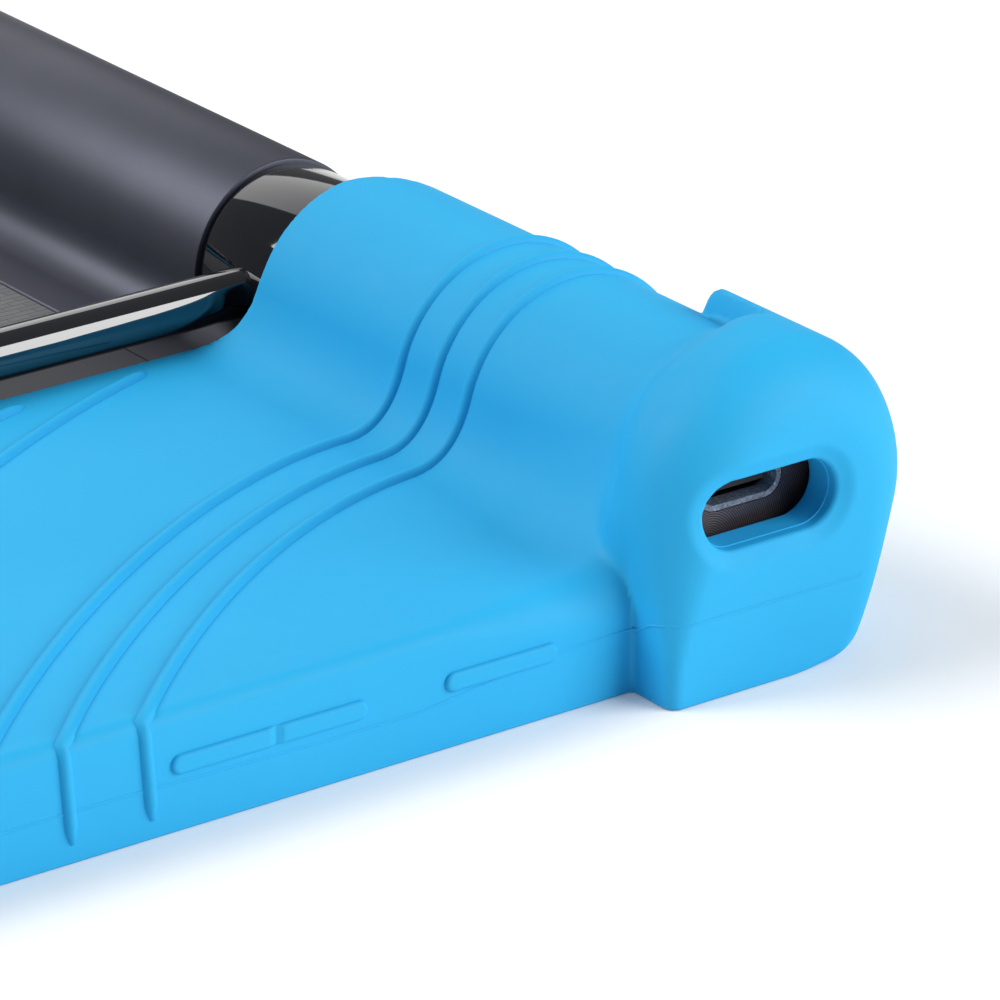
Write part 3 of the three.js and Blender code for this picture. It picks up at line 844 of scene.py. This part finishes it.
def pill(name, x, z, length, height, proud, body, groove=None):
    """A soft raised pad on the near side wall, buried a little in it at its base."""
    rings = []
    for inset, rise in PAD_STEPS:
        flat = pad_outline(x, z, length, height, inset, PAD_END_POINTS)
        out = np.full(len(flat), rise * proud / PAD_TOP)
        if groove is not None and rise > 0:
            away = np.abs(flat[:, 0] - groove)
            out = out * (1 - 0.85 * (1 - ease(away, 0.12, 0.55)))
        rings.append(np.stack([flat[:, 0], -CASE_SIDE - out, flat[:, 1]], 1))
    count = len(rings[0])
    faces = open_rings(rings)
    faces.append(tuple(range(count))[::-1])
    last = (len(rings) - 1) * count
    tip = PAD_END_POINTS // 2
    for j in range(count // 2 - 1):
        a, b = last + (tip + j) % count, last + (tip + j + 1) % count
        c, d = last + (tip - j - 2) % count, last + (tip - j - 1) % count
        faces.append((a, b, c, d))
    return new_piece(name, np.concatenate(rings), faces, "silicone", body)


def make_pads():
    for key in ("power", "volume"):
        low, high = node_box(f"{key}_pad")
        middle, size = (low + high) / 2, high - low
        groove = middle[0] + 0.6 if key == "volume" else None
        proud = -CASE_SIDE - low[1]
        pad = pill(f"{key}_pad_skin", middle[0], middle[2], size[0], size[2], proud, f"{key}_key", groove)
        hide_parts(f"{key}_pad")


# ------------------------------------------------------------------ tablet pieces


def arc(cx, cz, r, a0, a1, count):
    angles = np.radians(np.linspace(a0, a1, count))
    return [(cx + r * math.cos(a), cz + r * math.sin(a)) for a in angles]


def taper_points(radius, floor, inner):
    leave = (radius * math.cos(TAPER), AXIS_Z + radius * math.sin(TAPER))
    foot = leave[0] + (leave[1] - floor) * math.tan(TAPER)
    return [(inner, floor), (foot, floor), leave]


def shell_outline():
    """The grip shell's outside, anticlockwise from its skirt's lower corner."""
    top = PANEL_HIGH[2]
    skirt, soft = 0.7, 0.15
    edge = SHELL_LOW[0]
    rise = top + SHELL_FILLET - AXIS_Z
    cx = -math.sqrt((GRIP_R + SHELL_FILLET) ** 2 - rise ** 2)
    touch = math.degrees(math.atan2(-rise, -cx))
    start_bottom = math.degrees(math.asin((top - skirt - AXIS_Z) / GRIP_R))
    right = math.degrees(math.asin(TAPER_INNER / GRIP_R))
    points = [(edge + soft, top - skirt)]
    points += arc(0, AXIS_Z, GRIP_R, 180 - start_bottom, 270 + right, 24)
    points += taper_points(GRIP_R, GLASS_LOW[2], TAPER_INNER)
    points += arc(0, AXIS_Z, GRIP_R, math.degrees(TAPER), 180, 70)[1:-1]
    points += arc(cx, top + SHELL_FILLET, SHELL_FILLET, touch, -90, 20)
    points += [(edge + soft, top), (edge, top - soft), (edge, top - skirt + soft)]
    return points


def tube_piece(name, outline, bore, y0, y1, look, body, chamfer=0.25):
    """An outline in X and Z run along Y, with a round bore through it and softened ends."""
    outline = np.asarray(outline, float)
    count = len(outline)
    angles = np.arctan2(outline[:, 1] - AXIS_Z, outline[:, 0])
    inner = np.stack([bore * np.cos(angles), AXIS_Z + bore * np.sin(angles)], 1)
    edge = np.roll(outline, -1, 0) - np.roll(outline, 1, 0)
    inward = unit(np.stack([-edge[:, 1], edge[:, 0]], 1))
    rings = []
    start = [(y0, 1), (y0 + chamfer * 0.3, 0.3), (y0 + chamfer, 0)]
    end = [(y1 - chamfer, 0), (y1 - chamfer * 0.3, 0.3), (y1, 1)]
    for y, shrink in start + end:
        flat = outline + inward * chamfer * shrink
        rings.append(np.stack([flat[:, 0], np.full(count, y), flat[:, 1]], 1))
    for y in (y1, y0):
        rings.append(np.stack([inner[:, 0], np.full(count, y), inner[:, 1]], 1))
    return new_piece(name, np.concatenate(rings), closed_rings(rings), look, body)


def make_grip():
    y0, y1 = SHELL_LOW[1], SHELL_HIGH[1]
    shell = tube_piece("grip_shell_smooth", shell_outline(), GRIP_BORE, y0, y1, "satin", "tablet")
    smooth_by_angle(shell, 28)
    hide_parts("grip_centre_shell")
    for word in ("near", "far"):
        low, high = node_box(f"hinge_barrel_{word}")
        ring = arc(0, AXIS_Z, BARREL_R, 0, 360, 129)[:-1]
        barrel = tube_piece(
            f"barrel_smooth_{word}", ring, BARREL_BORE, low[1], high[1], "gloss", "kickstand", 0.35,
        )
        smooth_by_angle(barrel, 28)
        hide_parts(f"hinge_barrel_{word}")


def make_hinge_covers():
    """Beside each barrel the slab's back runs up towards it in a concave flare."""
    radius = BARREL_R + SEAM
    for word in ("near", "far"):
        low, high = node_box(f"hinge_cover_{word}")
        back = low[2] + COVER_THICKNESS
        cz = back + COVER_FILLET
        rise = cz - AXIS_Z
        cx = -math.sqrt((radius + COVER_FILLET) ** 2 - rise ** 2)
        touch = math.degrees(math.atan2(-rise, -cx))
        flare = arc(cx, cz, COVER_FILLET, -90, touch - COVER_SHORT, 18)
        under = math.degrees(math.asin((low[2] - AXIS_Z) / radius))
        last = math.degrees(math.atan2(flare[-1][1] - AXIS_Z, flare[-1][0])) % 360
        inner = arc(0, AXIS_Z, radius, last, 180 - under, 14)
        edge = low[0] - COVER_REACH
        outline = [(edge, low[2])] + inner[::-1] + flare[::-1] + [(edge, back)]
        piece = solid_run(f"hinge_cover_smooth_{word}", outline, low[1], high[1], "border", "tablet")
        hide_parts(f"hinge_cover_{word}")


def solid_run(name, outline, y0, y1, look, body):
    """An outline in X and Z run straight along Y and closed with flat ends."""
    outline = np.asarray(outline, float)
    area = (outline[:, 0] * np.roll(outline[:, 1], -1) - np.roll(outline[:, 0], -1) * outline[:, 1]).sum()
    if area < 0:
        outline = outline[::-1]
    count = len(outline)
    rings = [np.stack([outline[:, 0], np.full(count, y), outline[:, 1]], 1) for y in (y0, y1)]
    faces = [(j, count + j, count + (j + 1) % count, (j + 1) % count) for j in range(count)]
    faces += [tuple(range(count)), tuple(range(count, 2 * count))[::-1]]
    return smooth_by_angle(new_piece(name, np.concatenate(rings), faces, look, body), 25)


def make_loop():
    """The kickstand: one rod, bent twice, its ends in the barrels."""
    r = (LOOP_HIGH[2] - LOOP_LOW[2]) / 2
    z = (LOOP_HIGH[2] + LOOP_LOW[2]) / 2
    arm_y = LOOP_HIGH[1] - r
    end_x, corner = LOOP_LOW[0] + r, 11.0
    start = LOOP_HIGH[0]
    side = [(start, arm_y), (start - 2, arm_y), (-20, arm_y), (-40, arm_y), (end_x + corner, arm_y)]
    bend = arc(end_x + corner, arm_y - corner, corner, 90, 180, 24)[1:]
    half = side + bend + [(end_x, 20)]
    path = [(x, y, z) for x, y in half] + [(end_x, 0, z)] + [(x, -y, z) for x, y in half[::-1]]
    path = np.array(path)
    ahead = unit(np.gradient(path, axis=0))
    across = np.cross(ahead, [0, 0, 1.0])
    count = 48
    turn = np.linspace(0, 2 * math.pi, count, endpoint=False)
    rings = []
    for point, sideways in zip(path, across):
        circle = np.outer(np.cos(turn), sideways) + np.outer(np.sin(turn), [0, 0, 1.0])
        rings.append(point + r * circle)
    faces = open_rings(rings)
    faces.append(tuple(range(count))[::-1])
    faces.append(tuple(range((len(path) - 1) * count, len(path) * count)))
    loop = new_piece("kickstand_rod", np.concatenate(rings), faces, "rod", "kickstand")
    smooth_by_angle(loop, 40)
    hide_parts("kickstand_loop")


def plate_piece(name, outline, z0, z1, bevel, look, holes=()):
    """A flat plate from an outline in X and Y, its upper and lower edges softened, with round holes."""
    curve = bpy.data.curves.new(name, "CURVE")
    curve.dimensions = "2D"
    curve.fill_mode = "BOTH"
    for ring in (outline, *holes):
        spline = curve.splines.new("POLY")
        spline.points.add(len(ring) - 1)
        for point, (x, y) in zip(spline.points, ring):
            point.co = ((x + GRIP_X) * MM, y * MM, 0, 1)
        spline.use_cyclic_u = True
    curve.extrude = ((z1 - z0) / 2 - bevel) * MM
    curve.bevel_depth = bevel * MM
    curve.bevel_resolution = 3
    curve.offset = -bevel * MM
    temporary = bpy.data.objects.new(name + "_curve", curve)
    bpy.context.scene.collection.objects.link(temporary)
    bpy.context.view_layer.update()
    mesh = bpy.data.meshes.new_from_object(temporary.evaluated_get(bpy.context.evaluated_depsgraph_get()))
    bpy.data.objects.remove(temporary)
    mesh.name = name
    for vertex in mesh.vertices:
        vertex.co.z += (z0 + z1) / 2 * MM
    mesh.materials.clear()
    mesh.materials.append(LOOKS[look])
    mesh.shade_smooth()
    piece = bpy.data.objects.new(name, mesh)
    bpy.context.scene.collection.objects.link(piece)
    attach(piece, "tablet")
    return smooth_by_angle(piece, 30)


def rect_outline(x0, x1, half, r0, r1, count=16):
    points = arc(x0 + r0, -half + r0, r0, 180, 270, count) + arc(x1 - r1, -half + r1, r1, 270, 360, count)
    points += arc(x1 - r1, half - r1, r1, 0, 90, count) + arc(x0 + r0, half - r0, r0, 90, 180, count)
    return points


def make_plates():
    x0, x1, half = PANEL_LOW[0], PANEL_HIGH[0], PANEL_HIGH[1]
    z0, z1 = PANEL_LOW[2], PANEL_HIGH[2]
    gap, bevel = 0.1, 0.1
    camera = arc(LENS_MID[0], LENS_MID[1], LENS_HOLE_R, 0, 360, 65)[:-1]
    cloth = rect_outline(KNIT_END, x1 - gap, KNIT_HALF, KNIT_CORNER, 0.4)
    holes = [cloth[::-1], camera[::-1]]
    frame_ring = rect_outline(x0, x1, half, PLATE_CORNER, 0.6)
    knit_ring = rect_outline(KNIT_END + gap, x1, KNIT_HALF - gap, KNIT_CORNER - gap, 0.4)
    border = plate_piece("panel_border", frame_ring, z0, z1, bevel, "border", holes)
    knit = plate_piece("knit_panel", knit_ring, z0, z1, bevel, "knit")
    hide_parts("back_panel")
    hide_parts("back_panel")
    glass_ring = rect_outline(GLASS_LOW[0], GLASS_HIGH[0], GLASS_HIGH[1], PLATE_CORNER, 2)
    glass = plate_piece("front_glass", glass_ring, GLASS_LOW[2], GLASS_HIGH[2], 0.2, "glass")
    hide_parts("cover_glass")


def stadium_ring(x, z, length, height, count=28):
    reach = (length - height) / 2
    return arc(x + reach, z, height / 2, -90, 90, count) + arc(x - reach, z, height / 2, 90, 270, count)


def ring_tube(name, outer, inner, y0, y1, look, chamfer=0.06):
    """A straight tube along Y between two outlines with as many points each."""
    outer, inner = np.asarray(outer), np.asarray(inner)
    middle = (outer + inner) / 2
    count = len(outer)
    rings = []
    for ring, ends in ((outer, (y0, y1)), (inner, (y1, y0))):
        toward = unit(middle - ring) * chamfer
        for y in ends:
            inward = chamfer if y == y0 else -chamfer
            flat, edge = (y, ring + toward), (y + inward, ring)
            pair = [flat, edge] if (y == y0) == (ring is outer) else [edge, flat]
            rings += [np.stack([p[:, 0], np.full(count, at), p[:, 1]], 1) for at, p in pair]
    piece = new_piece(name, np.concatenate(rings), closed_rings(rings), look, "tablet")
    return smooth_by_angle(piece, 30)


def make_slot_line():
    """A thin line of flash inside the plug's slot, where the mould's core met its front."""
    x, z, length, height = SLOT
    width, y0, y1 = 0.2, -CAP_FACE + 1.72, -CAP_FACE + 1.9
    outer = stadium_ring(x, z, length + width, height + width)
    inner = stadium_ring(x, z, length - width, height - width)
    ring_tube("case_slot_flash", outer, inner, y0, y1, "silicone", 0.05)


def make_port():
    """The port: a sheared lip that fills its hole, bright partly as painted light, then the shell behind it in
    gloss black as painted shade.
    """
    x, _, z = (PORT_LOW + PORT_HIGH) / 2
    width, height = (PORT_HIGH - PORT_LOW)[0], (PORT_HIGH - PORT_LOW)[2]
    mouth, back = PORT_LOW[1], PORT_HIGH[1]
    outer = stadium_ring(x, z, width + 0.5, height + 0.5)
    inner = stadium_ring(x, z, width - 0.6, height - 0.6)
    # The lip's brightness is partly painted light falling in through the opening
    rim = ring_tube("port_rim", outer, inner, mouth, mouth + PORT_LIP, "rim")
    shell = stadium_ring(x, z, width, height)
    # Gloss black past the lip is painted shade deeper in the port
    deep = ring_tube("port_deep", shell, inner, mouth + PORT_LIP + PORT_STEP, back, "gloss")
    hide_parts("usb_port_shell")
    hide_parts("usb_port_shell")


smooth_case()
make_ribs()
make_parting_line()
make_pads()
make_grip()
make_hinge_covers()
make_loop()
make_plates()
make_port()
make_slot_line()

for name in ("grip_end_cap_near", "grip_end_cap_far"):
    frame["nodes"][name].data.materials.clear()
    frame["nodes"][name].data.materials.append(LOOKS["turned"])

# ------------------------------------------------------------------ floor, light, camera


def make_floor():
    bpy.ops.mesh.primitive_plane_add(size=6, location=(0, 0, -0.00005))
    floor = bpy.context.object
    floor.name = "floor"
    m = Nodes("pale_floor")
    m.color(m.ramp(m.noise(3, 2), [(0.4, (0.90, 0.90, 0.90)), (0.6, (0.92, 0.92, 0.92))]))
    m.rough(m.between(m.noise(40, 2), 0.8, 0.9))
    m.set(Emission_Color=(1, 1, 1, 1), Emission_Strength=0.10)
    floor.data.materials.append(m.material)


def area_light(name, place, target, width, height, power):
    light = bpy.data.lights.new(name, "AREA")
    light.shape = "RECTANGLE"
    light.size, light.size_y = width, height
    light.energy = power
    holder = bpy.data.objects.new(name, light)
    holder.location = place
    holder.rotation_euler = (Vector(target) - Vector(place)).to_track_quat("-Z", "Y").to_euler()
    bpy.context.scene.collection.objects.link(holder)


def make_lights():
    world = bpy.data.worlds.new("studio")
    bpy.context.scene.world = world
    world.use_nodes = True
    background = world.node_tree.nodes["Background"]
    background.inputs["Color"].default_value = (1, 1, 1, 1)
    background.inputs["Strength"].default_value = 0.15
    area_light("key_softbox", (0.80, -1.00, 0.60), (0.05, -0.1, 0), 1.0, 0.9, 16.2)
    area_light("overhead_softbox", (-0.10, 0.05, 1.30), (0.0, -0.05, 0), 1.2, 1.2, 1.4)
    area_light("left_softbox", (-0.80, 0.53, 1.06), (0.05, -0.1, 0), 0.9, 0.9, 17)
    area_light("rear_right_softbox", (0.50, 1.15, 0.80), (0.05, -0.1, 0), 1.0, 0.85, 3.6)


def make_camera():
    """The photographed corner from above and to the left, through a long lens."""
    bearing, tilt = math.radians(36.6), math.radians(22.6)
    level = math.cos(tilt)
    forward = Vector((math.sin(bearing) * level, math.cos(bearing) * level, -math.sin(tilt)))
    data = bpy.data.cameras.new("camera")
    data.sensor_width = 36
    data.lens = 262.8
    data.clip_start = 0.01
    camera = bpy.data.objects.new("camera", data)
    camera.location = (-0.3080, -0.5996, 0.2676)
    camera.rotation_euler = forward.to_track_quat("-Z", "Y").to_euler()
    bpy.context.scene.collection.objects.link(camera)
    bpy.context.scene.camera = camera


make_floor()
make_lights()
make_camera()
bpy.context.scene.view_settings.view_transform = "Standard"
bpy.context.scene.view_settings.look = "None"
